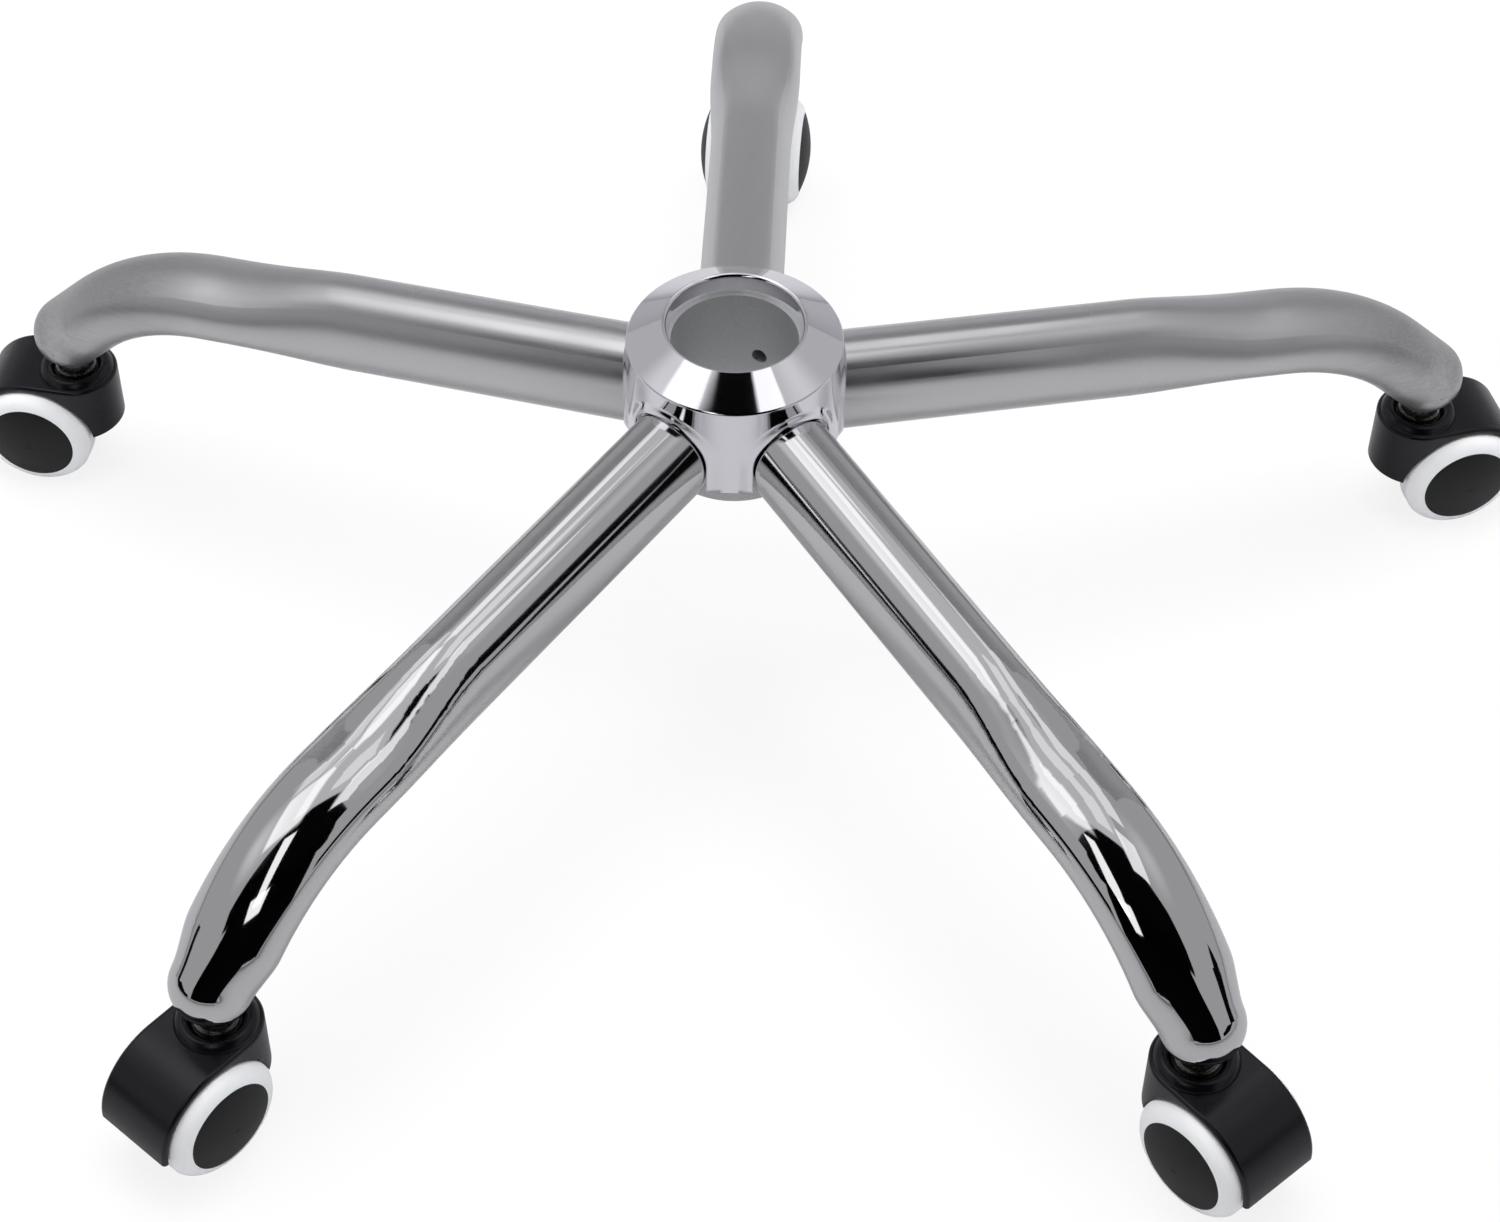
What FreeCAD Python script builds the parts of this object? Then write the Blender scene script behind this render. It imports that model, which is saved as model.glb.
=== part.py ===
import FreeCAD, Part
import Sketcher
import math
import os

from FreeCAD import Placement, Rotation, Vector

# Office chair five star base: a chromed steel star of five bent tubes welded to a taper sleeve,
# covered by a pressed hub shell, on five twin-wheel casters. Millimetres, +Z up.
# The floor is z = 0 and the gas lift axis is x = y = 0. The rear leg points along +Y.

SIZES = {
    # Star and hub shell
    "stem_circle_radius": 305.0,
    "hub_radius": 42.4,
    "hub_rim_rise": 120.0,
    "hub_cone_height": 9.0,
    "hub_skirt_height": 42.0,
    "hub_wall": 2.0,
    "hub_crown_drop": 2.6,
    "hub_shoulder_drop": 1.2,
    "rim_round": 1.6,
    "knuckle_round": 1.2,
    "throat_radius": 26.7,
    "throat_depth": 9.0,
    "arch_clearance": 0.8,
    # Taper sleeve
    "sleeve_wall": 6.0,
    "sleeve_length": 59.0,
    "taper_mouth_radius": 25.0,
    "taper_foot_radius": 23.5,
    "sleeve_chamfer": 0.8,
    "drain_hole_radius": 3.2,
    "drain_hole_drop": 30.0,
    "drain_hole_azimuth": 68.0,
    # Legs
    "leg_axis_rise": 78.6,
    "leg_fall_angle": 6.3,
    "leg_wall": 1.5,
    "leg_hub_half_width": 17.2,
    "leg_hub_half_depth": 21.3,
    "leg_bend_half_width": 19.7,
    "leg_bend_half_depth": 15.4,
    "leg_tip_half_width": 16.0,
    "leg_tip_half_depth": 15.6,
    "leg_root_radius": 20.0,
    "leg_press_length": 57.0,
    "leg_press_to_bend": 10.0,
    "leg_bend_radius": 96.0,
    "leg_bend_angle": 39.0,
    "leg_nose_setback": 0.5265,
    "leg_nose_rise": 14.8468,
    "weld_gap": 0.05,
    # How far a cutting outline reaches past what it cuts
    "overcut": 1.0,
    # Stem socket
    "socket_radius": 8.0,
    "socket_collar": 4.4,
    "socket_length": 24.0,
    "socket_chamfer": 0.6,
    # Stem and grip ring
    "stem_radius": 4.4,
    "stem_groove_radius": 3.6,
    "stem_head": 2.0,
    "stem_head_gap": 2.0,
    "grip_ring_height": 9.0,
    "grip_ring_slit": 1.6,
    "grip_ring_radius": 5.5,
    "grip_ring_clearance": 0.03,
    "flange_radius": 8.6,
    "flange_thickness": 1.7,
    "stem_foot": 20.0,
    "swivel_clearance": 0.05,
    "thrust_gap": 0.35,
    # Hood
    "caster_trail": 17.7,
    "hood_half_width": 17.5,
    "hood_wall": 2.2,
    "hood_wheel_gap": 1.3,
    "hood_web_half_width": 8.8,
    "hood_web_radius": 12.0,
    "hood_front_rise": 2.0,
    "hood_edge_round": 1.6,
    # Wheels and axle
    "wheel_radius": 25.0,
    "tread_thickness": 3.4,
    "wheel_inner_face": 9.2,
    "wheel_shoulder": 17.0,
    "wheel_face": 22.2,
    "tread_edge_break": 0.6,
    "tread_lip": 1.5,
    "tread_bevel_radius": 8.0,
    "cap_radius": 18.7,
    "cap_dome": 3.8,
    "wheel_disc_thickness": 3.0,
    "wheel_rim_thickness": 2.4,
    "wheel_hub_radius": 6.5,
    "axle_radius": 3.0,
    "axle_running_clearance": 0.05,
    "axle_half_length": 19.0,
    "axle_end_gap": 0.4,
    "axle_chamfer": 0.4,
}

# Leg azimuths, and where each caster's wheels trail, in degrees from +X
LEGS = {
    "rear": (90.0, 266.0),
    "left": (162.0, 172.0),
    "front_left": (234.0, 231.0),
    "front_right": (306.0, 313.0),
    "right": (18.0, 17.0),
}

UP = Vector(0, 0, 1)
DOMED = "domed"

# Shares of the way at which a swelling stretch of a leg has a section
STEPS = (0.0, 0.25, 0.5, 0.75, 1.0)

# Heights above the floor and radii, each a chain of sheet names
HOOD_RADIUS = "wheel_radius + hood_wheel_gap + hood_wall"
HOOD_TOP = "wheel_radius + " + HOOD_RADIUS
COLLAR_FOOT = HOOD_TOP + " + thrust_gap + flange_thickness"
SEAT = COLLAR_FOOT + " + socket_collar"
LEG_AXIS = SEAT + " + leg_axis_rise"
RIM = SEAT + " + hub_rim_rise"
LIP_FOOT = RIM + " - throat_depth"
KNUCKLE = RIM + " - hub_cone_height"
SKIRT_FOOT = KNUCKLE + " - hub_skirt_height"
SLEEVE_RADIUS = "taper_mouth_radius + sleeve_wall"

document = FreeCAD.newDocument("star_base")
sheet = document.addObject("Spreadsheet::Sheet", "sizes")
for row, (name, number) in enumerate(SIZES.items(), start=1):
    sheet.set(f"A{row}", name)
    sheet.set(f"B{row}", str(number))
    sheet.setAlias(f"B{row}", name)
document.recompute()


def size(words):
    """Adds up a chain of sheet names and numbers, such as 'hub_radius - 0.5*hub_wall'."""
    total = 0.0
    sign = 1.0
    for word in words.split():
        if word in ("+", "-"):
            sign = 1.0 if word == "+" else -1.0
            continue
        factor, _, name = word.rpartition("*")
        number = float(sheet.get(name)) if name in SIZES else float(name)
        total += sign * number * float(factor or 1)
    return total


def bound(words):
    """The same chain as an expression on the sheet."""
    parts = []
    for word in words.split():
        factor, star, name = word.rpartition("*")
        parts.append(factor + star + (f"sizes.{name}" if name in SIZES else name))
    return " ".join(parts)


def minus(words):
    """The chain with every sign turned over."""
    swap = {"+": "-", "-": "+"}
    return "0 - " + " ".join(swap.get(word, word) for word in words.split())


def new_body(label):
    body = document.addObject("PartDesign::Body", label)
    body.Label = label
    return body


def new_sketch(body, name, role):
    """A sketch on one of the body's own origin planes."""
    plane = next(item for item in body.Origin.OriginFeatures if item.Role == role)
    sketch = body.newObject("Sketcher::SketchObject", name)
    sketch.AttachmentSupport = (plane, [""])
    sketch.MapMode = "FlatFace"
    return sketch


def raise_plane(sketch, words):
    """Lifts a sketch along its own normal by a length that follows the sheet."""
    sketch.AttachmentOffset = Placement(Vector(0, 0, size(words)), Rotation())
    sketch.setExpression(".AttachmentOffset.Base.z", bound(words))


def tie(sketch, constraint, words):
    """Adds a constraint whose value follows the sheet."""
    index = sketch.addConstraint(constraint)
    sketch.setExpression(f"Constraints[{index}]", bound(words))


def pin(sketch, edge, end, across, up):
    """Places one end of an edge from the sketch's axes."""
    for kind, axis, words in (("DistanceX", -2, across), ("DistanceY", -1, up)):
        if words == "0":
            sketch.addConstraint(Sketcher.Constraint("PointOnObject", edge, end, axis))
        else:
            tie(sketch, Sketcher.Constraint(kind, -1, 1, edge, end, size(words)), words)


def arc_between(start, end, radius, bulge):
    """The short arc from start to end; a bulge of 1 turns left on the way, -1 turns right."""
    chord = end - start
    middle = (start + end) * 0.5
    rise = math.sqrt(max(radius ** 2 - (chord.Length / 2) ** 2, 0.0))
    side = Vector(-chord.y, chord.x, 0).normalize()
    centre = middle + side * rise * bulge
    first, last = (start, end) if bulge > 0 else (end, start)
    turn = [math.atan2(point.y - centre.y, point.x - centre.x) for point in (first, last)]
    if turn[1] < turn[0]:
        turn[1] += 2 * math.pi
    return Part.ArcOfCircle(Part.Circle(centre, UP, radius), turn[0], turn[1])


def draw(sketch, corners):
    """Draws a closed outline. A corner is (across, up), or (across, up, radius, bulge)
    where the way to the next corner is an arc. DOMED as the radius puts the arc's centre on
    the vertical axis, where the arc ends."""
    count = len(corners)
    points = [Vector(size(corner[0]), size(corner[1]), 0) for corner in corners]
    ends = []
    for index, corner in enumerate(corners):
        start, end = points[index], points[(index + 1) % count]
        if len(corner) == 2:
            edge = sketch.addGeometry(Part.LineSegment(start, end), False)
            ends.append((edge, 1, 2))
        else:
            if corner[2] == DOMED:
                rise = end.y - start.y
                radius = (start.x ** 2 + rise ** 2) / (2 * rise)
            else:
                radius = size(corner[2])
            edge = sketch.addGeometry(arc_between(start, end, radius, corner[3]), False)
            ends.append((edge, 1, 2) if corner[3] > 0 else (edge, 2, 1))
    for index, corner in enumerate(corners):
        edge, first, _ = ends[index]
        before, _, last = ends[index - 1]
        sketch.addConstraint(Sketcher.Constraint("Coincident", before, last, edge, first))
        pin(sketch, edge, first, corner[0], corner[1])
        if len(corner) > 2 and corner[2] == DOMED:
            sketch.addConstraint(Sketcher.Constraint("PointOnObject", edge, 3, -2))
        elif len(corner) > 2:
            tie(sketch, Sketcher.Constraint("Radius", edge, size(corner[2])), corner[2])


def draw_circle(sketch, across, up, radius):
    circle = Part.Circle(Vector(size(across), size(up), 0), UP, size(radius))
    edge = sketch.addGeometry(circle, False)
    pin(sketch, edge, 3, across, up)
    tie(sketch, Sketcher.Constraint("Radius", edge, size(radius)), radius)


def turned(body, name, role, axis, corners):
    """A full turn of an outline about the sketch's own axis."""
    sketch = new_sketch(body, f"{name}_outline", role)
    draw(sketch, corners)
    feature = body.newObject("PartDesign::Revolution", name)
    feature.Profile = sketch
    feature.ReferenceAxis = (sketch, [axis])
    feature.Angle = 360.0
    document.recompute()
    return feature


def pushed(body, name, kind, sketch, length, reverse=False, middle=False):
    """A pad or pocket of a sketch, over a length that follows the sheet."""
    feature = body.newObject(f"PartDesign::{kind}", name)
    feature.Profile = sketch
    feature.Length = size(length)
    feature.setExpression("Length", bound(length))
    feature.Midplane = middle
    feature.Reversed = reverse
    document.recompute()
    return feature


def rounded(body, name, kind, edges, words):
    """A fillet or chamfer on edges of the body's last feature."""
    last = body.Tip
    feature = body.newObject(f"PartDesign::{kind}", name)
    feature.Base = (last, edges)
    prop = "Radius" if kind == "Fillet" else "Size"
    setattr(feature, prop, size(words))
    feature.setExpression(prop, bound(words))
    document.recompute()
    return feature


def edges_where(body, test):
    """Names of the edges of the body so far that pass a test."""
    return [f"Edge{k}" for k, edge in enumerate(body.Tip.Shape.Edges, start=1) if test(edge)]


def rings(body, radius, *heights):
    """Edges that are circles of a radius about +Z, at any of the heights."""
    def test(edge):
        curve = edge.Curve
        return (isinstance(curve, Part.Circle) and abs(curve.Radius - size(radius)) < 0.01
                and any(abs(curve.Center.z - size(height)) < 0.01 for height in heights))
    return edges_where(body, test)


def make_hub_shell():
    """Pressed cover: rolled throat lip, cone, knuckle and skirt, with an arch over each leg."""
    body = new_body("hub_shell")
    inside = "hub_radius - hub_wall"
    turned(body, "pressing", "XZ_Plane", "V_Axis", [
        ("hub_radius", SKIRT_FOOT),
        ("hub_radius", KNUCKLE),
        ("throat_radius + rim_round", RIM, "rim_round", 1),
        ("throat_radius", RIM + " - rim_round"),
        ("throat_radius", LIP_FOOT),
        ("throat_radius + hub_wall", LIP_FOOT),
        ("throat_radius + hub_wall", RIM + " - hub_crown_drop"),
        (inside, KNUCKLE + " - hub_shoulder_drop"),
        (inside, SKIRT_FOOT),
    ])
    rounded(body, "knuckle", "Fillet", rings(body, "hub_radius", KNUCKLE), "knuckle_round")
    arch = new_sketch(body, "arch_outline", "YZ_Plane")
    reach = "leg_hub_half_width + arch_clearance"
    spring = LEG_AXIS + " + leg_hub_half_depth - leg_hub_half_width"
    below = SKIRT_FOOT + " - hub_wall"
    draw(arch, [
        (minus(reach), below),
        (reach, below),
        (reach, spring, reach, 1),
        ("0", f"{spring} + {reach}", reach, 1),
        (minus(reach), spring),
    ])
    pocket = pushed(body, "arch", "Pocket", arch, "hub_radius + hub_wall", reverse=True)
    pattern = body.newObject("PartDesign::PolarPattern", "arches")
    pattern.Originals = [pocket]
    pattern.Axis = (arch, ["V_Axis"])
    pattern.Angle = 360.0
    pattern.Occurrences = len(LEGS)
    body.Tip = pattern
    document.recompute()
    body.Placement = Placement(Vector(), Rotation(UP, LEGS["right"][0]))
    return body


def make_taper_sleeve():
    """Thick welded sleeve whose tapered bore grips the gas lift, with one drain hole."""
    body = new_body("taper_sleeve")
    foot = LIP_FOOT + " - sleeve_length"
    turned(body, "sleeve", "XZ_Plane", "V_Axis", [
        ("taper_foot_radius", foot),
        (SLEEVE_RADIUS, foot),
        (SLEEVE_RADIUS, LIP_FOOT),
        ("taper_mouth_radius", LIP_FOOT),
    ])
    edges = rings(body, SLEEVE_RADIUS, LIP_FOOT, foot) + rings(body, "taper_foot_radius", foot)
    rounded(body, "edge_breaks", "Chamfer", edges, "sleeve_chamfer")
    hole = new_sketch(body, "drain_outline", "YZ_Plane")
    draw_circle(hole, "0", LIP_FOOT + " - drain_hole_drop", "drain_hole_radius")
    pushed(body, "drain_hole", "Pocket", hole, SLEEVE_RADIUS + " + overcut", reverse=True)
    body.Placement = Placement(Vector(), Rotation(UP, size("drain_hole_azimuth")))
    return body


def oval(centre, tilt, half_width, half_depth):
    """A four-centred oval across the leg, in six arcs from its side over the top and back."""
    across = Vector(0, 1, 0)
    normal = Vector(math.sin(tilt), 0, math.cos(tilt))
    span = math.hypot(half_width, half_depth)
    flatter = half_width - half_depth
    near = (span - abs(flatter)) / 2
    side_radius = (near + max(-flatter, 0)) * span / half_width
    turn = math.atan2(half_width, half_depth)

    def on_side(angle, left, down):
        u = half_width - side_radius * (1 - math.cos(angle))
        return centre + across * u * left + normal * side_radius * math.sin(angle) * down

    edges = []
    for left, down in ((1, 1), (-1, -1)):
        side = on_side(0, left, down)
        join = on_side(turn, left, down)
        far_join = on_side(turn, -left, down)
        crown = centre + normal * half_depth * down
        far_side = on_side(0, -left, down)
        edges.append(Part.Arc(side, on_side(turn / 2, left, down), join))
        edges.append(Part.Arc(join, crown, far_join))
        edges.append(Part.Arc(far_join, on_side(turn / 2, -left, down), far_side))
    return Part.Wire([edge.toShape() for edge in edges])


def eased(share):
    """Goes from 0 to 1 with no corner at either end."""
    return share * share * (3 - 2 * share)


def blend(first, last, share):
    return tuple(a + (b - a) * share for a, b in zip(first, last))


def swelling(first, last, tilt, first_sizes, last_sizes):
    """A stretch of tube whose oval changes with no corner at either end."""
    sections = [oval(first + (last - first) * share, tilt,
                     *blend(first_sizes, last_sizes, eased(share))) for share in STEPS]
    return Part.makeLoft(sections, True, False)


def leg_form(inset):
    """The leg as one solid, drawn in by inset all round: runs, press, bend, ball nose, flat seat.

    The nose stands over the stem and rests on its collar, whatever the bend: the end run takes
    the height that is left between the hub and the seat, and the bend starts where that ends."""
    lateral = Vector(0, 1, 0)
    fall = math.radians(size("leg_fall_angle"))
    tilt = fall + math.radians(size("leg_bend_angle"))
    radius = size("leg_bend_radius")
    bend_reach = radius * (math.sin(tilt) - math.sin(fall))
    bend_drop = radius * (math.cos(fall) - math.cos(tilt))
    straight_reach = size("stem_circle_radius - leg_nose_setback - hub_radius") - bend_reach
    left_over = size("leg_axis_rise - leg_nose_rise") - bend_drop - straight_reach * math.tan(fall)
    end_run = left_over / (math.sin(tilt) - math.cos(tilt) * math.tan(fall))
    start = size("hub_radius") + straight_reach - end_run * math.cos(tilt)
    level = size(LEG_AXIS) - (start - size("hub_radius")) * math.tan(fall)
    press_end = start - size("leg_press_to_bend")
    hub, flat, tip = ((size(f"leg_{name}_half_width") - inset, size(f"leg_{name}_half_depth") - inset)
                      for name in ("hub", "bend", "tip"))

    def on_run(reach):
        return Vector(reach, 0, level + (start - reach) * math.tan(fall))

    def straight(first, last, sizes):
        return Part.Face(oval(first, fall, *sizes)).extrude(last - first)

    root, press_start, press_end, knee = map(on_run, (
        size("leg_root_radius"), press_end - size("leg_press_length"), press_end, start))
    pivot = knee - Vector(math.sin(fall), 0, math.cos(fall)) * radius
    ankle = pivot + Vector(math.sin(tilt), 0, math.cos(tilt)) * radius
    centre = ankle + Vector(math.cos(tilt), 0, -math.sin(tilt)) * end_run
    bend = Part.Face(oval(knee, fall, *flat)).revolve(pivot, lateral, size("leg_bend_angle"))
    upper = oval(centre, tilt, *tip).Edges[:3]
    width = Part.makeLine(upper[2].Vertexes[-1].Point, upper[0].Vertexes[0].Point)
    nose = Part.Face(Part.Wire([*upper, width])).revolve(centre, lateral, 180)
    tube = straight(root, press_start, hub).multiFuse([
        swelling(press_start, press_end, fall, hub, flat), straight(press_end, knee, flat), bend,
        swelling(ankle, centre, tilt, flat, tip), nose])
    far = size("stem_circle_radius")
    under = Part.makeBox(2 * far, 2 * far, far, Vector(0, -far, size(SEAT) + inset - far))
    return tube.cut(under)


def leg_shape():
    """Closed tube with its wall, coped to the sleeve, with a hole in the seat for the socket."""
    shell = leg_form(0.0).cut(leg_form(size("leg_wall")))
    cope = Part.makeCylinder(size(SLEEVE_RADIUS + " + weld_gap"), size(RIM))
    hole = Part.makeCylinder(size("socket_radius + weld_gap"), size("socket_length"),
                             Vector(size("stem_circle_radius"), 0, size(COLLAR_FOOT)))
    return shell.cut(cope).cut(hole).Solids[0]


def make_leg(label, shape, azimuth):
    leg = document.addObject("Part::Feature", label)
    leg.Label = label
    leg.Shape = shape
    leg.Placement = Placement(Vector(), Rotation(UP, azimuth))
    return leg


def stand(body, azimuth, trail=None, lift=None):
    """Places a body that was drawn about a leg's stem axis, or lift away from it."""
    reach = size("stem_circle_radius")
    turn = math.radians(azimuth)
    foot = Vector(reach * math.cos(turn), reach * math.sin(turn), 0)
    body.Placement = Placement(foot, Rotation(UP, azimuth if trail is None else trail))
    if lift:
        body.Placement = body.Placement.multiply(lift)
    return body


def make_socket(label):
    """Turned collar welded into the leg's seat, bored for the stem's grip ring."""
    body = new_body(label)
    top = COLLAR_FOOT + " + socket_length"
    bore = "grip_ring_radius + grip_ring_clearance"
    turned(body, "collar", "XZ_Plane", "V_Axis", [
        (bore, COLLAR_FOOT),
        ("socket_radius", COLLAR_FOOT),
        ("socket_radius", top),
        (bore, top),
    ])
    rounded(body, "edge_breaks", "Chamfer", rings(body, "socket_radius", COLLAR_FOOT, top),
            "socket_chamfer")
    return body


def make_stem(label):
    """Turned pin: head, groove for the grip ring, thrust flange and the foot that the hood turns on."""
    body = new_body(label)
    head_top = COLLAR_FOOT + " + socket_length - stem_head_gap"
    groove_top = head_top + " - stem_head"
    groove_foot = groove_top + " - grip_ring_height"
    flange_foot = COLLAR_FOOT + " - flange_thickness"
    turned(body, "pin", "XZ_Plane", "V_Axis", [
        ("0", flange_foot + " - stem_foot"),
        ("stem_radius", flange_foot + " - stem_foot"),
        ("stem_radius", flange_foot),
        ("flange_radius", flange_foot),
        ("flange_radius", COLLAR_FOOT),
        ("stem_radius", COLLAR_FOOT),
        ("stem_radius", groove_foot),
        ("stem_groove_radius", groove_foot),
        ("stem_groove_radius", groove_top),
        ("stem_radius", groove_top),
        ("stem_radius", head_top),
        ("0", head_top),
    ])
    rounded(body, "lead_in", "Chamfer", rings(body, "stem_radius", head_top), "socket_chamfer")
    return body


def make_grip_ring(label):
    """Split spring ring in the stem's groove that grips the socket."""
    body = new_body(label)
    top = COLLAR_FOOT + " + socket_length - stem_head_gap - stem_head - grip_ring_clearance"
    foot = top + " - grip_ring_height + 2*grip_ring_clearance"
    inner = "stem_groove_radius + grip_ring_clearance"
    turned(body, "ring", "XZ_Plane", "V_Axis", [
        (inner, foot),
        ("grip_ring_radius", foot),
        ("grip_ring_radius", top),
        (inner, top),
    ])
    slit = new_sketch(body, "slit_outline", "YZ_Plane")
    draw(slit, [
        ("0 - 0.5*grip_ring_slit", COLLAR_FOOT),
        ("0.5*grip_ring_slit", COLLAR_FOOT),
        ("0.5*grip_ring_slit", top + " + overcut"),
        ("0 - 0.5*grip_ring_slit", top + " + overcut"),
    ])
    pushed(body, "slit", "Pocket", slit, "grip_ring_radius + overcut", reverse=True)
    return body


def make_hood(label):
    """Moulded hood: stem boss and fender in one U-shaped cover, with a web that holds the axle."""
    body = new_body(label)
    back = "caster_trail + " + HOOD_RADIUS
    front_foot = "wheel_radius + hood_front_rise"
    side = new_sketch(body, "side_outline", "XZ_Plane")
    draw(side, [
        (minus("hood_half_width"), front_foot),
        ("caster_trail - hood_web_radius", "wheel_radius", "hood_web_radius", 1),
        ("caster_trail", "wheel_radius - hood_web_radius", "hood_web_radius", 1),
        ("caster_trail + hood_web_radius", "wheel_radius"),
        (back, "wheel_radius", HOOD_RADIUS, 1),
        ("caster_trail", HOOD_TOP),
        (minus("hood_half_width"), HOOD_TOP),
    ])
    pushed(body, "cover", "Pad", side, "2*hood_half_width", middle=True)
    corners = new_sketch(body, "front_corners", "XY_Plane")
    clear = "hood_half_width + hood_wall"
    draw(corners, [
        ("0", minus("hood_half_width")),
        ("0", minus(clear)),
        (minus(clear), minus(clear)),
        (minus(clear), clear),
        ("0", clear),
        ("0", "hood_half_width", "hood_half_width", 1),
        (minus("hood_half_width"), "0", "hood_half_width", 1),
    ])
    pushed(body, "round_front", "Pocket", corners, HOOD_TOP + " + overcut", reverse=True)
    rounded(body, "rim_round", "Fillet", edges_where(body, on_hood_rim), "hood_edge_round")
    for side_name, face in (("left", "hood_web_half_width"), ("right", minus("hood_web_half_width"))):
        well = new_sketch(body, f"well_{side_name}", "XZ_Plane")
        draw_circle(well, "caster_trail", "wheel_radius", HOOD_RADIUS + " - hood_wall")
        raise_plane(well, face)
        pushed(body, f"wheel_well_{side_name}", "Pocket", well, "hood_half_width",
               reverse=(side_name == "left"))
    axle = new_sketch(body, "axle_outline", "XZ_Plane")
    draw_circle(axle, "caster_trail", "wheel_radius", "axle_radius")
    pushed(body, "axle_bore", "Pocket", axle, "4*hood_half_width", middle=True)
    bore = new_sketch(body, "stem_outline", "XY_Plane")
    draw_circle(bore, "0", "0", "stem_radius + swivel_clearance")
    raise_plane(bore, HOOD_TOP + " - stem_foot - thrust_gap")
    pushed(body, "stem_bore", "Pocket", bore, "2*stem_foot", reverse=True)
    return body


def on_hood_rim(edge):
    """True on the upper outline of the hood: both fender edges and round the boss."""
    box = edge.BoundBox
    reach = size("hood_half_width")
    at_side = abs(abs(box.Center.y) - reach) < 0.01 and box.YLength < 0.01
    round_boss = box.ZMin > size(HOOD_TOP) - 0.01 and box.XMax < 0.01
    return (at_side and box.ZMax > size(HOOD_TOP) - 0.01 and box.XMin > -0.01) or round_boss


def make_tread(label):
    """Soft ring over the wheel's rim, bevelled round its outer shoulder up to the cap."""
    body = new_body(label)
    inner = "wheel_radius - tread_thickness"
    ledge = "wheel_face - tread_lip"
    turned(body, "ring", "XY_Plane", "V_Axis", [
        (inner, "wheel_inner_face"),
        ("wheel_radius - tread_edge_break", "wheel_inner_face"),
        ("wheel_radius", "wheel_inner_face + tread_edge_break"),
        ("wheel_radius", "wheel_shoulder", "tread_bevel_radius", 1),
        ("cap_radius", "wheel_face"),
        ("cap_radius", ledge),
        (inner, ledge),
    ])
    return body


def make_wheel_core(label):
    """Hard wheel: domed cap, disc, rim under the tread and a blind hub on the axle."""
    body = new_body(label)
    rim = "wheel_radius - tread_thickness"
    ledge = "wheel_face - tread_lip"
    disc = ledge + " - wheel_disc_thickness"
    bore = "axle_radius + axle_running_clearance"
    bore_end = "axle_half_length + axle_end_gap"
    turned(body, "core", "XY_Plane", "V_Axis", [
        (bore, "wheel_inner_face"),
        ("wheel_hub_radius", "wheel_inner_face"),
        ("wheel_hub_radius", disc),
        (rim + " - wheel_rim_thickness", disc),
        (rim + " - wheel_rim_thickness", "wheel_inner_face"),
        (rim, "wheel_inner_face"),
        (rim, ledge),
        ("cap_radius", ledge),
        ("cap_radius", "wheel_face", DOMED, 1),
        ("0", "wheel_face + cap_dome"),
        ("0", bore_end),
        (bore, bore_end),
    ])
    return body


def make_axle(label):
    """Steel pin through the hood's web, with a wheel running on each end."""
    body = new_body(label)
    turned(body, "pin", "XY_Plane", "V_Axis", [
        ("0", minus("axle_half_length")),
        ("axle_radius - axle_chamfer", minus("axle_half_length")),
        ("axle_radius", minus("axle_half_length - axle_chamfer")),
        ("axle_radius", "axle_half_length - axle_chamfer"),
        ("axle_radius - axle_chamfer", "axle_half_length"),
        ("0", "axle_half_length"),
    ])
    return body


def report_state():
    for item in document.Objects:
        if "Invalid" in item.State or "Error" in item.State:
            raise RuntimeError(f"{item.Label}: {item.State}")


def save(items):
    os.makedirs("parts", exist_ok=True)
    for item in items:
        if item.Shape.isNull() or not item.Shape.isValid():
            raise RuntimeError(f"{item.Label} has no valid shape")
        item.Shape.exportStep(f"parts/{item.Label}.step")
        print(item.Label, round(item.Shape.Volume, 1), len(item.Shape.Solids), len(item.Shape.Faces))


pieces = [make_hub_shell(), make_taper_sleeve()]
leg_tube = leg_shape()
at_axle = Placement(Vector(size("caster_trail"), 0, size("wheel_radius")), Rotation())
other_side = at_axle.multiply(Placement(Vector(), Rotation(UP, 180)))
for place, (azimuth, trail) in LEGS.items():
    pieces.append(make_leg(f"leg_{place}", leg_tube, azimuth))
    pieces.append(stand(make_socket(f"stem_socket_{place}"), azimuth))
    pieces.append(stand(make_stem(f"stem_{place}"), azimuth))
    pieces.append(stand(make_grip_ring(f"grip_ring_{place}"), azimuth))
    pieces.append(stand(make_hood(f"hood_{place}"), azimuth, trail))
    pieces.append(stand(make_axle(f"axle_{place}"), azimuth, trail, at_axle))
    for side, lift in (("a", at_axle), ("b", other_side)):
        pieces.append(stand(make_wheel_core(f"wheel_core_{place}_{side}"), azimuth, trail, lift))
        pieces.append(stand(make_tread(f"tread_{place}_{side}"), azimuth, trail, lift))

document.recompute()
report_state()
save(pieces)
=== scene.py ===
# %% [markdown]
# A five star chair base, dressed for its portrait
#
# The solids come from the CAD model: five bent oval tubes on a taper sleeve, a pressed hub shell
# and five twin-wheel casters. Blender adds what the solids lack: the rolled edges of the hub's
# arches, the rings round the stems, the chrome, the moulded nylon and the soft wheel rings, and
# then the floor, the studio and the camera. Everything is in metres, in the frame of the CAD
# model: the floor is z = 0, the rear leg points along +Y.

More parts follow.
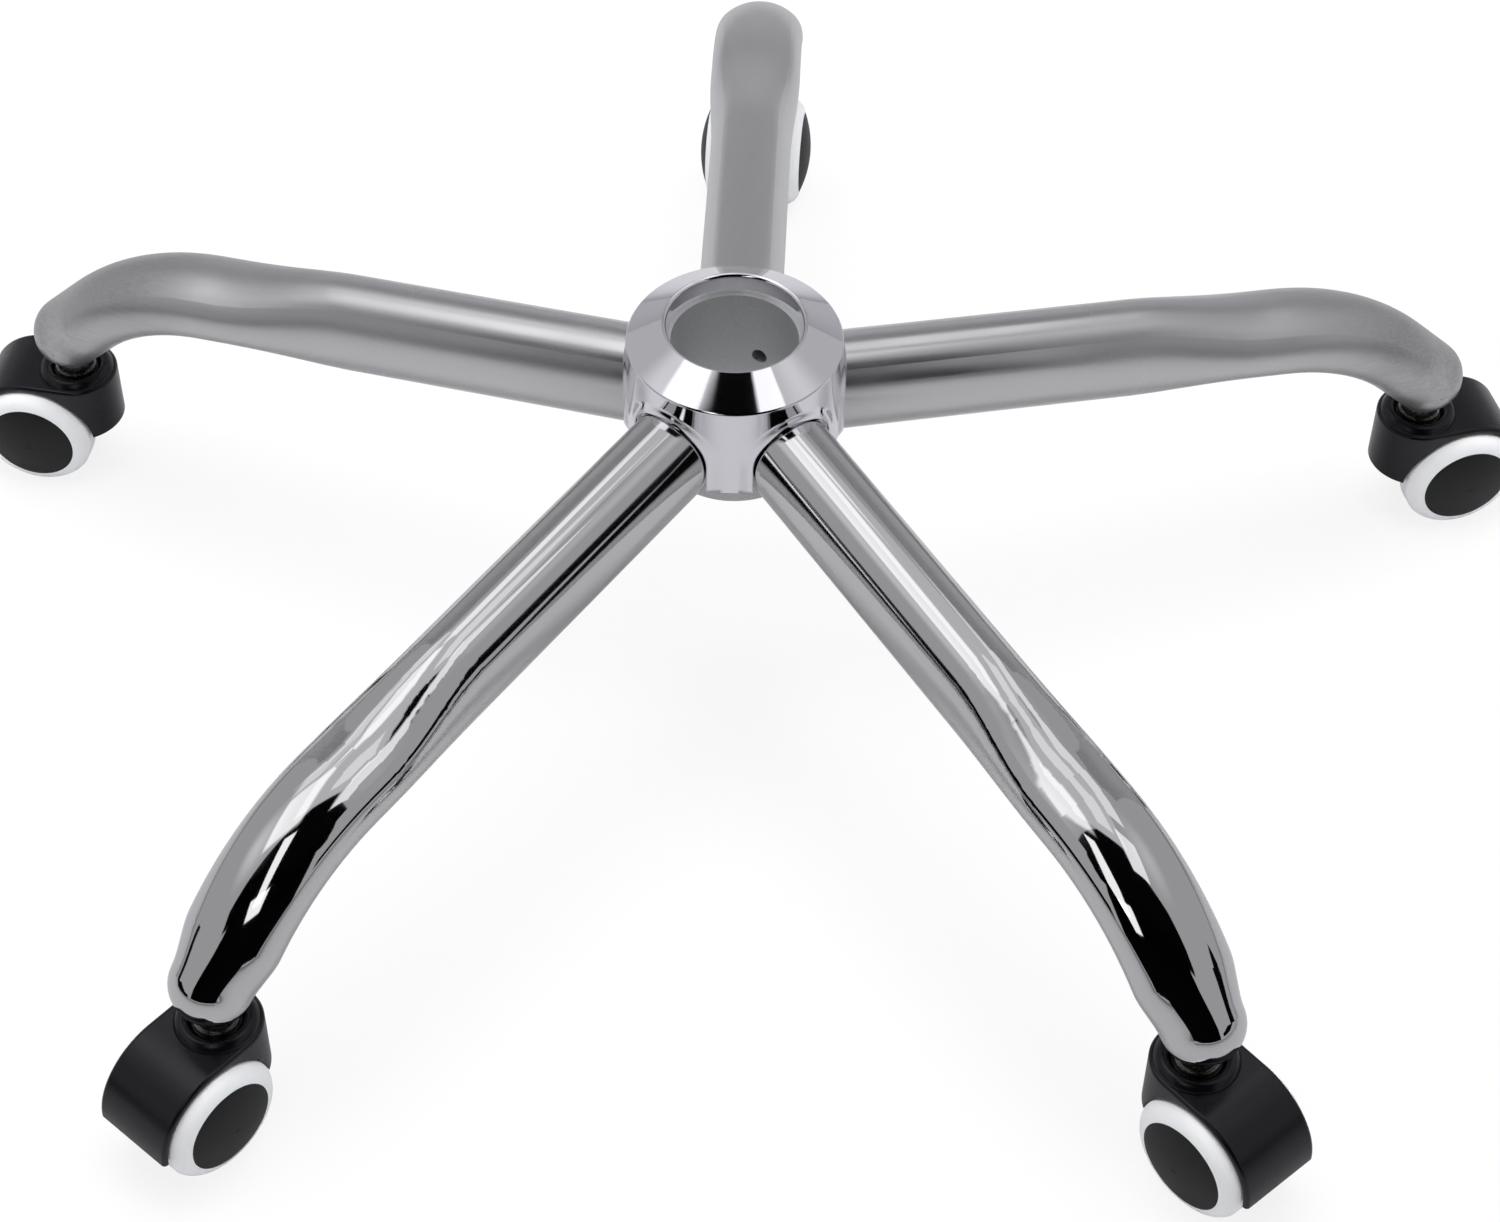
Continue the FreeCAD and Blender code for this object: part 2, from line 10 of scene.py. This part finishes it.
# %% Load the model
import bmesh
import bpy
import math
import numpy as np
from mathutils import Matrix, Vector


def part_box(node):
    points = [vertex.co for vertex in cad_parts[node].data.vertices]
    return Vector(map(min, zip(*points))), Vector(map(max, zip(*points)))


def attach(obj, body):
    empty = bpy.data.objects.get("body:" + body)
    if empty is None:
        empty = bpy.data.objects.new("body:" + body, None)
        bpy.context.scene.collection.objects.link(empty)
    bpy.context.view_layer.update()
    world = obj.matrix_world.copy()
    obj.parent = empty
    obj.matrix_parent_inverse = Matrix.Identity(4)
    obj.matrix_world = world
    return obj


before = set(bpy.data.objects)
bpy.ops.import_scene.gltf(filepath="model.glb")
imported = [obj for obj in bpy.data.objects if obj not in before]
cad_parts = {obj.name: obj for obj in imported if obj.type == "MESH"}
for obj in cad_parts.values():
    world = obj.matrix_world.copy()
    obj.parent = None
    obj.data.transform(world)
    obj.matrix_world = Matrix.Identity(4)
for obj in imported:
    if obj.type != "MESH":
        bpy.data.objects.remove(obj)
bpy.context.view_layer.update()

# %% [markdown]
# The camera first, because it says which surfaces show. A camera is a point, three directions
# and a focal length. These were found by matching the wheel caps, the leg tips and the hub's
# rims to their places in the photograph: the camera looks down at almost 49 degrees from a
# little to the right of the front, from about one and a half metres.

# %% Camera
PHOTO = (1500, 1222)
SENSOR_MM = 36.0
CAMERA = {"azimuth": 3.28, "elevation": 48.63, "roll": -0.41, "distance": 1.44516,
          "focal_px": 3368.2, "aside": -0.0195, "target_z": -0.01562, "centre_px": (686.7, 657.28)}


def camera_axes(azimuth, elevation, roll):
    """Right, up and back of a camera. Back is the direction from its target towards it, by
    azimuth from the front and elevation, and roll turns the other two about it."""
    a, e, r = np.radians([azimuth, elevation, roll])
    back = np.array([np.sin(a) * np.cos(e), -np.cos(a) * np.cos(e), np.sin(e)])
    right = np.array([np.cos(a), np.sin(a), 0.0])
    up = np.cross(back, right)
    return (np.cos(r) * right + np.sin(r) * up, np.cos(r) * up - np.sin(r) * right, back)


def make_camera(spec):
    """A camera whose optical axis meets the picture away from its middle, by way of its shift."""
    right, up, back = camera_axes(spec["azimuth"], spec["elevation"], spec["roll"])
    target = np.array([0, 0, spec["target_z"]]) + right * spec["aside"]
    data = bpy.data.cameras.new("photo_camera")
    data.sensor_width = SENSOR_MM
    data.lens = spec["focal_px"] * data.sensor_width / PHOTO[0]
    data.shift_x = (PHOTO[0] / 2 - spec["centre_px"][0]) / PHOTO[0]
    data.shift_y = (spec["centre_px"][1] - PHOTO[1] / 2) / PHOTO[0]
    camera = bpy.data.objects.new("photo_camera", data)
    place = np.eye(4)
    place[:3, 0], place[:3, 1], place[:3, 2] = right, up, back
    place[:3, 3] = target + back * spec["distance"]
    camera.matrix_world = Matrix(place.tolist())
    bpy.context.scene.collection.objects.link(camera)
    bpy.context.scene.camera = camera
    return camera


camera = make_camera(CAMERA)
print("lens", round(camera.data.lens, 2), "mm at", [round(v, 3) for v in camera.location])

# %% [markdown]
# Colours are written as on a paint chart, in sRGB hex, and a shader wants them linear, so one
# function turns them over. Another adds a node with its settings and its links, and every
# material below is built with it.

# %% Colour and node helpers


def linear(code):
    """sRGB hex to linear red, green, blue and 1: a straight line near black, and above it a
    power of 2.4."""
    s = np.array([int(code[i:i + 2], 16) for i in (1, 3, 5)]) / 255
    rgb = np.where(s <= 0.04045, s / 12.92, ((s + 0.055) / 1.055) ** 2.4)
    return (*rgb.tolist(), 1.0)


def add(tree, kind, settings=None, **inputs):
    """Adds a node. Settings are its own fields; an input takes a value or another node's output.
    Inputs go by name, with _ for a space, or by number, as in i0."""
    node = tree.nodes.new(kind)
    for name, value in (settings or {}).items():
        setattr(node, name, value)
    for name, value in inputs.items():
        key = int(name[1:]) if name[0] == "i" and name[1:].isdigit() else name.replace("_", " ")
        if isinstance(value, bpy.types.NodeSocket):
            tree.links.new(value, node.inputs[key])
        else:
            node.inputs[key].default_value = value
    return node


def new_material(name):
    """An empty material with its output node, and the tree to build in."""
    material = bpy.data.materials.new(name)
    material.use_nodes = True
    material.node_tree.nodes.clear()
    return material, material.node_tree


def end_in(tree, shader):
    """Sends a shader to the material's output."""
    add(tree, "ShaderNodeOutputMaterial", Surface=shader)


print("mid grey #808080 is", round(linear("#808080")[0], 3), "in linear light")

# %% [markdown]
# Bright nickel-chrome plate on steel tube. The plate is a thin mirror that copies the polishing
# marks of the steel under it, so its gloss is never quite even. The front legs are buffed to a
# clear mirror, clearest at their bends. The side legs are bright near the hub and satin further
# out, with brushed and worn tips, and the rear leg is satin all along. The marks run along the
# tube, so each leg gets its own pattern, turned to its own direction, and stretched forty to one
# along it.

# %% Chrome plate
LEG_AZIMUTHS = {"rear": 90, "left": 162, "front_left": 234, "front_right": 306, "right": 18}
HAZE = {"rear": (0.3, 0.3), "left": (0.15, 0.38), "front_left": (0.1, 0.05),
        "front_right": (0.09, 0.04), "right": (0.12, 0.38)}
GRAIN = {"rear": 0.25, "left": 0.25, "front_left": 0.02, "front_right": 0.02, "right": 0.25}
SCUFF = {"rear": 0.0, "left": 0.75, "front_left": 0.0, "front_right": 0.0, "right": 0.75}
PLATE, HUB_PLATE, WORN_PLATE = "#D2D2D3", "#F2F1F6", "#8E8E90"
HAZE_SPAN = (0.12, 0.26)  # metres from the star's middle over which the haze changes
BRUSH_SPAN = (0.27, 0.31)  # where the brushing of the tips comes in
WEAR_SPAN = (0.24, 0.32)  # where their wear comes in
WANDER = 0.05  # metres by which these places shift, so that no ring shows
MARK_SIZE = (0.04, 0.001, 0.001)  # a polishing mark, along the tube and across it


def chrome(name, azimuth, near, far, grain, scuff, colour):
    """Mirror metal. Its roughness goes from near, at the hub, to far, over the haze span; the
    grain is a noise stretched along the azimuth, and the scuff makes it deeper and darker at
    the leg's tip."""
    material, tree = new_material(name)
    place = add(tree, "ShaderNodeTexCoord").outputs["Object"]
    reach = add(tree, "ShaderNodeVectorMath", {"operation": "LENGTH"}, i0=place)
    drift = add(tree, "ShaderNodeTexNoise", Vector=place, Scale=12.0, Detail=2.0)
    blur = add(tree, "ShaderNodeMapRange", Value=drift.outputs["Fac"], From_Min=0.3,
               From_Max=0.7, To_Min=-WANDER, To_Max=WANDER)
    where = add(tree, "ShaderNodeMath", {"operation": "ADD"}, i0=reach.outputs["Value"],
                i1=blur.outputs[0])
    rough = add(tree, "ShaderNodeMapRange", Value=where.outputs[0], From_Min=HAZE_SPAN[0],
                From_Max=HAZE_SPAN[1], To_Min=near, To_Max=far)
    along = add(tree, "ShaderNodeMapping", {"vector_type": "TEXTURE"}, Vector=place,
                Rotation=(0, 0, math.radians(azimuth)), Scale=MARK_SIZE)
    marks = add(tree, "ShaderNodeTexNoise", Vector=along.outputs[0], Scale=1.0, Detail=3.0)
    depth = add(tree, "ShaderNodeMapRange", Value=where.outputs[0], From_Min=BRUSH_SPAN[0],
                From_Max=BRUSH_SPAN[1], To_Min=grain, To_Max=grain + scuff)
    bump = add(tree, "ShaderNodeBump", Strength=depth.outputs[0], Distance=0.00002,
               Height=marks.outputs["Fac"])
    wear = add(tree, "ShaderNodeMapRange", Value=where.outputs[0], From_Min=WEAR_SPAN[0],
               From_Max=WEAR_SPAN[1], To_Min=0.0, To_Max=scuff)
    streak = add(tree, "ShaderNodeMath", {"operation": "MULTIPLY"}, i0=wear.outputs[0],
                 i1=marks.outputs["Fac"])
    tone = add(tree, "ShaderNodeMix", {"data_type": "RGBA"}, Factor=streak.outputs[0],
               i6=linear(colour), i7=linear(WORN_PLATE))
    shader = add(tree, "ShaderNodeBsdfPrincipled", Base_Color=tone.outputs[2], Metallic=1.0,
                 Roughness=rough.outputs[0], Normal=bump.outputs[0])
    end_in(tree, shader.outputs[0])
    return material


def paint(names, material):
    """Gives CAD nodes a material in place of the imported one."""
    for name in names:
        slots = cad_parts[name].data.materials
        slots.clear()
        slots.append(material)


for place, azimuth in LEG_AZIMUTHS.items():
    paint([f"leg_{place}"], chrome(f"nickel_chrome_plate_{place}", azimuth, *HAZE[place],
                                   GRAIN[place], SCUFF[place], PLATE))
hub_chrome = chrome("nickel_chrome_plate_hub", 0, 0.06, 0.06, 0.05, 0.0, HUB_PLATE)
paint(["hub_shell"], hub_chrome)
print("chromed", len(LEG_AZIMUTHS) + 1, "pieces")

# %% [markdown]
# The hub shell is drawn from two millimetre sheet. The edge of each arch is turned outwards into
# a low flare: it stiffens the sheet, hides the cut edge and gives the bright ring round the foot
# of each leg. In the model the arches are plain cuts, so the flare is a piece of its own. The
# arch's outline is walked from one foot over the crown to the other, and at every step a small
# wave of a profile stands on the sheet. The profile runs on through the sheet and back to its
# start, so the flare is a closed solid, as a plater or a printer would want it.

# %% Flared edges of the arches
HUB_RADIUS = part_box("hub_shell")[1][0]
ARCH = {"foot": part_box("hub_shell")[0][2], "spring": 0.14265, "reach": 0.018}
FLARE = {"height": 0.0015, "width": 0.0048, "roll": 0.0004, "drop": 0.0009, "sheet": 0.0019,
         "sunk": 0.0001}


def arch_outline(foot, spring, reach, lift=0.0001, side=7, steps=40):
    """Points up one side, round a half circle and down the other, and their outward normals."""
    rise = np.linspace(foot + lift, spring, side + 1)[:-1]
    turn = np.linspace(0, np.pi, steps)
    across = np.concatenate([np.full(side, reach), reach * np.cos(turn), np.full(side, -reach)])
    height = np.concatenate([rise, spring + reach * np.sin(turn), rise[::-1]])
    normal = np.stack([np.concatenate([np.ones(side), np.cos(turn), -np.ones(side)]),
                       np.concatenate([np.zeros(side), np.sin(turn), np.zeros(side)])], axis=1)
    return np.stack([across, height], axis=1), normal


def flare_profile(height, width, roll, drop, sheet, sunk, steps=14, curl=6):
    """Distance from the cut edge and height over the sheet: half a cosine wave up to the crest,
    a quarter ellipse down its inner side, a straight fall through the sheet, and a way back."""
    s = np.linspace(0, 1, steps)
    q = np.linspace(0, np.pi / 2, curl + 1)[1:]
    off = np.concatenate([width * (1 - s), -roll * np.sin(q), [-roll, width]])
    up = np.concatenate([height * (1 - np.cos(np.pi * s)) / 2 - sunk,
                         height - drop * (1 - np.cos(q)) - sunk, [-sheet, -sheet / 2]])
    return off, up


def swept(name, points, material, body, ring=False):
    """A smooth closed solid which rides on a body. Each row of the grid of points is a closed
    profile; the last row joins the first, or else both ends are capped."""
    rows, columns = points.shape[:2]
    row, column = np.meshgrid(np.arange(rows - 1 + ring), np.arange(columns), indexing="ij")
    after, beside = (row + 1) % rows, (column + 1) % columns
    quads = np.stack([row * columns + column, row * columns + beside, after * columns + beside,
                      after * columns + column], axis=-1).reshape(-1, 4).tolist()
    ends = [] if ring else [list(range(columns)), list(range((rows - 1) * columns, rows * columns))]
    mesh = bpy.data.meshes.new(name)
    mesh.from_pydata(points.reshape(-1, 3).tolist(), [], quads + ends)
    mesh.polygons.foreach_set("use_smooth", np.arange(len(mesh.polygons)) < len(quads))
    faces = bmesh.new()
    faces.from_mesh(mesh)
    bmesh.ops.recalc_face_normals(faces, faces=faces.faces)
    volume = faces.calc_volume(signed=True)
    faces.to_mesh(mesh)
    faces.free()
    mesh.materials.append(material)
    piece = bpy.data.objects.new(name, mesh)
    bpy.context.scene.collection.objects.link(piece)
    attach(piece, body)
    print(name, len(quads), "quads,", round(volume * 1e9, 1), "cubic mm")
    return piece


def arch_flare(place, azimuth):
    """The flare round one leg, wrapped on the shell's cylinder: a point lies out from the axis
    by the root of its radius squared less its distance across squared."""
    outline, normal = arch_outline(**ARCH)
    off, up = flare_profile(**FLARE)
    flat_points = outline[:, None, :] + normal[:, None, :] * off[None, :, None]
    across, height = flat_points[..., 0], flat_points[..., 1]
    out = np.sqrt((HUB_RADIUS + up[None, :]) ** 2 - across ** 2)
    a = math.radians(azimuth)
    points = np.stack([out * math.cos(a) - across * math.sin(a),
                       out * math.sin(a) + across * math.cos(a), height], axis=-1)
    return swept(f"arch_flare_{place}", points, hub_chrome, "star")


flares = [arch_flare(place, azimuth) for place, azimuth in LEG_AZIMUTHS.items()]
print(len(flares), "flares; hub radius", round(HUB_RADIUS, 4), "foot", round(ARCH["foot"], 4))

# %% [markdown]
# The sleeve inside the hub is dull grey: steel tube that the plating bath reached only as a thin
# matt film. It has a fine mottle, a millimetre or so across. The stems and collars are bright
# zinc plate, yellowish grey and softer in gloss than the chrome.

# %% Bare and zinc-plated steel


def steel(name, dark, light, rough, mottle_mm, metallic=1.0, uneven=0.2, depth_mm=0.1):
    """Metal whose colour and roughness wander between two values over a mottle of a given size."""
    material, tree = new_material(name)
    place = add(tree, "ShaderNodeTexCoord").outputs["Object"]
    mottle = add(tree, "ShaderNodeTexNoise", Vector=place, Scale=1000.0 / mottle_mm, Detail=4.0)
    colour = add(tree, "ShaderNodeMix", {"data_type": "RGBA"}, Factor=mottle.outputs["Fac"],
                 i6=linear(dark), i7=linear(light))
    rough_at = add(tree, "ShaderNodeMapRange", Value=mottle.outputs["Fac"],
                   To_Min=rough * (1 - uneven), To_Max=rough * (1 + uneven))
    bump = add(tree, "ShaderNodeBump", Strength=0.2, Distance=depth_mm / 1000,
               Height=mottle.outputs["Fac"])
    shader = add(tree, "ShaderNodeBsdfPrincipled", Base_Color=colour.outputs[2],
                 Metallic=metallic, Roughness=rough_at.outputs[0], Normal=bump.outputs[0])
    end_in(tree, shader.outputs[0])
    return material


paint(["taper_sleeve"], steel("matt_plated_steel", "#B8B9BA", "#D4D5D6", 0.5, 1.2, 0.7))
zinc = steel("bright_zinc_plate", "#9A9A98", "#C9C8C4", 0.28, 0.8)
for place in LEG_AZIMUTHS:
    paint([f"stem_socket_{place}", f"stem_{place}", f"grip_ring_{place}", f"axle_{place}"], zinc)
print("matt plate on the sleeve, zinc on the small steel of", len(LEG_AZIMUTHS), "casters")

# %% [markdown]
# The hoods and wheel hubs are injection moulded polyamide, black through and through, from a
# tool with a fine spark-eroded texture. The texture is about a third of a millimetre across and
# turns the gloss into a soft sheen, so the index of refraction is set a little under nylon's.
# The wheel rings are thermoplastic polyurethane, nearly white, softer and more even, and just a
# little translucent: light goes about two millimetres in.

# %% Moulded plastics


PLASTIC_IOR = 1.46
SOFT_DEPTH = 0.002


def moulded(name, dark, light, rough, grit_mm, depth_mm, soft=0.0, flow_mm=25.0, uneven=0.1):
    """Plastic with a fine cellular texture, and a slow change of tone as the melt flowed."""
    material, tree = new_material(name)
    place = add(tree, "ShaderNodeTexCoord").outputs["Object"]
    flow = add(tree, "ShaderNodeTexNoise", Vector=place, Scale=1000.0 / flow_mm, Detail=2.0)
    colour = add(tree, "ShaderNodeMix", {"data_type": "RGBA"}, Factor=flow.outputs["Fac"],
                 i6=linear(dark), i7=linear(light))
    grit = add(tree, "ShaderNodeTexVoronoi", Vector=place, Scale=1000.0 / grit_mm)
    bump = add(tree, "ShaderNodeBump", Strength=0.5, Distance=depth_mm / 1000,
               Height=grit.outputs["Distance"])
    rough_at = add(tree, "ShaderNodeMapRange", Value=flow.outputs["Fac"],
                   To_Min=rough * (1 - uneven), To_Max=rough * (1 + uneven))
    shader = add(tree, "ShaderNodeBsdfPrincipled", Base_Color=colour.outputs[2],
                 Roughness=rough_at.outputs[0], Normal=bump.outputs[0], IOR=PLASTIC_IOR)
    if soft:
        shader.inputs["Subsurface Weight"].default_value = soft
        shader.inputs["Subsurface Scale"].default_value = SOFT_DEPTH
    end_in(tree, shader.outputs[0])
    return material


hood_nylon = moulded("polyamide_hood", "#030208", "#07060E", 0.27, 0.35, 0.02)
cap_nylon = moulded("polyamide_cap", "#030304", "#0A0A0B", 0.5, 0.5, 0.03)
tread_urethane = moulded("polyurethane_tread", "#F4F4F5", "#FAFAFB", 0.42, 0.6, 0.01, soft=0.1)
for place in LEG_AZIMUTHS:
    paint([f"hood_{place}"], hood_nylon)
    paint([f"wheel_core_{place}_{side}" for side in "ab"], cap_nylon)
    paint([f"tread_{place}_{side}" for side in "ab"], tread_urethane)
print("moulded finishes on", len(LEG_AZIMUTHS), "hoods and", 2 * len(LEG_AZIMUTHS), "wheels")

# %% [markdown]
# Round the stem the top of each hood is drawn up into a low ring, a shallow dish in which the
# stem's flange turns. It keeps hair and grit away from the bearing. The ring is turned in code:
# half a sine wave, made a little fuller by a power under one, stands on the hood between two
# radii. A root inside the hood closes it, and the ring swivels with the hood.

# %% Ring round each stem
RING = {"outer": 0.0162, "inner": 0.0092, "height": 0.0034, "power": 0.8, "sunk": 0.0002,
        "root": 0.001}


def stem_ring(place, outer, inner, height, power, sunk, root, sides=72, steps=20):
    """A ring of revolution about the stem: as s goes from 0 to 1 the radius goes from outer to
    inner, and z is the height times the sine of pi s, to a power under one."""
    low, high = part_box(f"stem_{place}")
    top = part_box(f"hood_{place}")[1][2]
    s = np.linspace(0, 1, steps)
    turn = np.arange(sides) * 2 * np.pi / sides
    reach = np.append(outer + (inner - outer) * s, [inner, outer])
    wave = height * np.clip(np.sin(np.pi * s), 0, 1) ** power - sunk
    rise = top + np.append(wave, [-root, -root])
    points = np.stack([(low.x + high.x) / 2 + reach * np.cos(turn)[:, None],
                       (low.y + high.y) / 2 + reach * np.sin(turn)[:, None],
                       np.broadcast_to(rise, (sides, steps + 2))], axis=-1)
    return swept(f"stem_ring_{place}", points, hood_nylon, f"caster_{place}", ring=True)


rings = [stem_ring(place, **RING) for place in LEG_AZIMUTHS]
print(len(rings), "stem rings")

# %% [markdown]
# Chrome is only as good as what it mirrors, so the studio was read back from the photograph:
# each bright or dark patch on the legs and the hub, traced along its mirrored line of sight,
# lands in one place round the set. The floor comes first. The camera looks down so steeply that
# it is all of the background: white paper, nearly burnt out, with the shadow of the casters. In
# the mirrors it is a good deal greyer, so the paper answers the camera's rays and the mirrored
# ones with different tones.

# %% Floor
FLOOR_HALF, FLOOR_LEVEL = 7, -0.0002
BURNT_OUT = 0.84  # share of plain white in what the camera sees


def floor_material():
    """Pale paper: the camera sees it nearly white with its shadow, the mirrors a good deal
    greyer."""
    material, tree = new_material("studio_paper")
    path = add(tree, "ShaderNodeLightPath")
    paper = add(tree, "ShaderNodeBsdfDiffuse", Color=linear("#F0F0F2"))
    white = add(tree, "ShaderNodeEmission", Color=linear("#FFFFFF"), Strength=1.0)
    seen = add(tree, "ShaderNodeMixShader", i0=BURNT_OUT, i1=paper.outputs[0], i2=white.outputs[0])
    grey = add(tree, "ShaderNodeBsdfDiffuse", Color=linear("#B8B8BA"))
    mirrored = add(tree, "ShaderNodeMixShader", i0=path.outputs["Is Glossy Ray"],
                   i1=paper.outputs[0], i2=grey.outputs[0])
    chosen = add(tree, "ShaderNodeMixShader", i0=path.outputs["Is Camera Ray"],
                 i1=mirrored.outputs[0], i2=seen.outputs[0])
    end_in(tree, chosen.outputs[0])
    return material


def panel(name, corners, material):
    """A flat polygon through its corners, in metres."""
    mesh = bpy.data.meshes.new(name)
    mesh.from_pydata(corners, [], [tuple(range(len(corners)))])
    mesh.materials.append(material)
    sheet = bpy.data.objects.new(name, mesh)
    bpy.context.scene.collection.objects.link(sheet)
    return sheet


def level(points, height):
    """Corners of a level panel over points of the plan."""
    return [(x, y, height) for x, y in points]


FLOOR_CORNERS = [(-FLOOR_HALF, -FLOOR_HALF), (FLOOR_HALF, -FLOOR_HALF), (FLOOR_HALF, FLOOR_HALF),
                 (-FLOOR_HALF, FLOOR_HALF)]
panel("floor", level(FLOOR_CORNERS, FLOOR_LEVEL), floor_material())
print("paper floor", 2 * FLOOR_HALF, "m wide")

# %% [markdown]
# Chrome needs dark things to mirror as much as bright ones. Black cloth hangs level over the
# camera, with its edge cut to the line at which the front legs turn dark, and hangs upright in
# front. Two low flags at the sides draw the dark lines along the legs. A pale grey curtain
# behind is what the rear leg shows. The camera sees none of them, only the mirrors do.

# %% Black cloth, flags and curtain
CLOTH_LEVEL = 1.62
CLOTH_EDGE = [(-1.95, -1.4), (-1.35, -0.92), (-0.92, -0.65), (-0.52, -0.45), (-0.18, -0.3),
              (0.36, -0.3), (0.4, -0.6), (0.68, -0.55), (1.2, -0.85), (1.75, -1.4),
              (2.1, -1.85), (2.1, -2.0), (-2.2, -2.0)]
SIDE = 2.6


def studio_cloth(name, colour):
    """Matt cloth for the studio's flags and curtain."""
    material, tree = new_material(name)
    shader = add(tree, "ShaderNodeBsdfDiffuse", Color=linear(colour))
    end_in(tree, shader.outputs[0])
    return material


def upright(x_range, y_range, z_range):
    """Corners of a standing panel that runs from one plan point to another."""
    (xa, xb), (ya, yb), (low, high) = x_range, y_range, z_range
    return [(xa, ya, low), (xb, yb, low), (xb, yb, high), (xa, ya, high)]


cloth = studio_cloth("black_cloth", "#0A0A0A")
flags = [panel("cloth_above", level(CLOTH_EDGE, CLOTH_LEVEL), cloth),
         panel("cloth_in_front", upright((-1.9, 1.8), (-2.0, -2.0), (0.15, 2.42)), cloth),
         panel("flag_right", upright((SIDE, SIDE), (-2.2, 0.0), (0.37, 0.75)), cloth),
         panel("flag_left", upright((-SIDE, -SIDE), (-2.2, 0.0), (0.02, 0.41)), cloth),
         panel("curtain_behind", upright((-SIDE, SIDE), (3.0, 3.0), (0.0, 3.6)),
               studio_cloth("grey_curtain", "#D4D4D6"))]
for flag in flags:
    flag.visible_camera = False
print("hung", [flag.name for flag in flags])

# %% [markdown]
# Chrome shows its lights as shapes, so they are laid out like a picture. Two wide glows with
# fading edges lie over the side legs. The key and its neighbours are the bright windows in the
# front legs and on the cone of the hub. A strip and a small lamp in front draw the streaks at
# the bend of the front left leg. In a mirror a softbox adds its brightness to that of the room
# behind it, so each radiance is the brightness read from the photograph less the room's. Plastic
# and paper need more light than that, and get it from two fills which the mirrors don't show.

# %% A softbox


def softbox(name, size, place, radiance, turn=0.0, lean=0.0, fade=0.0):
    """A softbox of size metres that faces down, or leans. Its power is pi times its area times
    its radiance. Its cloth may fade to nothing at the edge, over a share of the width."""
    data = bpy.data.lights.new(name, "AREA")
    data.shape = "RECTANGLE"
    data.size, data.size_y = size
    data.energy = math.pi * size[0] * size[1] * radiance
    lamp = bpy.data.objects.new(name, data)
    lamp.location = place
    lamp.rotation_euler = (math.radians(lean), 0, math.radians(turn))
    bpy.context.scene.collection.objects.link(lamp)
    if fade:
        data.use_nodes = True
        tree = data.node_tree
        tree.nodes.clear()
        across = add(tree, "ShaderNodeNewGeometry").outputs["Parametric"]
        across = add(tree, "ShaderNodeSeparateXYZ", Vector=across)
        edges = [add(tree, "ShaderNodeMath", {"operation": "PINGPONG"}, i0=across.outputs[axis],
                     i1=0.5) for axis in (0, 1)]
        ramps = [add(tree, "ShaderNodeMapRange", {"interpolation_type": "SMOOTHSTEP"},
                     Value=edge.outputs[0], From_Max=fade) for edge in edges]
        glow = add(tree, "ShaderNodeMath", {"operation": "MULTIPLY"}, i0=ramps[0].outputs[0],
                   i1=ramps[1].outputs[0])
        light = add(tree, "ShaderNodeEmission", Strength=glow.outputs[0])
        add(tree, "ShaderNodeOutputLight", Surface=light.outputs[0])
    return lamp


print("a softbox of one square metre and radiance 1 takes", round(math.pi, 2), "W")

# %% Softboxes and fills
softboxes = [softbox("left_glow", (1.9, 1.7), (-1.5, -0.1, 1.5), 0.32, fade=0.5),
             softbox("right_glow", (1.3, 1.5), (1.1, 0.05, 1.5), 0.2, fade=0.5),
             softbox("wide_diffuser", (1.9, 1.09), (-0.41, 0.27, 1.5), 0.2),
             softbox("key", (0.9, 0.92), (-0.7, -0.03, 1.48), 0.78, fade=0.12),
             softbox("key_rear", (0.8, 0.6), (-0.84, 0.64, 1.48), 0.5, fade=0.3),
             softbox("key_tail", (0.27, 0.62), (-0.27, 0.71, 1.48), 0.6),
             softbox("key_core", (0.3, 0.5), (0.14, 0.11, 1.48), 0.35),
             softbox("right_box", (0.38, 0.54), (0.57, -0.27, 1.48), 0.65),
             softbox("right_rear", (0.3, 0.75), (0.58, 0.6, 1.48), 0.55),
             softbox("left_strip", (0.15, 0.7), (-0.3, -0.76, 0.9), 1.3, -4),
             softbox("left_lamp", (0.34, 0.36), (-0.33, -1.12, 0.88), 1.3)]
fills = [softbox("fill_for_matt_surfaces", (1.8, 1.8), (0, 0, 2.2), 6.0),
         softbox("front_fill_for_matt_surfaces", (1.6, 0.8), (0.2, -1.7, 1.2), 1.0, lean=55)]
for lamp in softboxes + fills:
    lamp.visible_camera = False
for lamp in fills:
    lamp.visible_glossy = False

# %% [markdown]
# The room itself is a mid grey, which the chrome mirrors wherever nothing else hangs. Past the
# edge of the floor the camera sees plain white, so the background has no end.

# %% Room


def studio_room():
    """A world that answers the camera's rays with white and all others with the room's grey."""
    world = bpy.data.worlds.new("studio_room")
    world.use_nodes = True
    tree = world.node_tree
    tree.nodes.clear()
    path = add(tree, "ShaderNodeLightPath")
    room = add(tree, "ShaderNodeBackground", Color=linear("#B1B1B3"), Strength=1.0)
    backdrop = add(tree, "ShaderNodeBackground", Color=linear("#FFFFFF"), Strength=1.0)
    choice = add(tree, "ShaderNodeMixShader", i0=path.outputs["Is Camera Ray"],
                 i1=room.outputs[0], i2=backdrop.outputs[0])
    add(tree, "ShaderNodeOutputWorld", Surface=choice.outputs[0])
    return world


bpy.context.scene.world = studio_room()
print("room", bpy.context.scene.world.name)

# %% [markdown]
# Last comes the plain view transform, so that a colour renders as it is written.

# %% Finish
bpy.context.scene.view_settings.view_transform = "Standard"
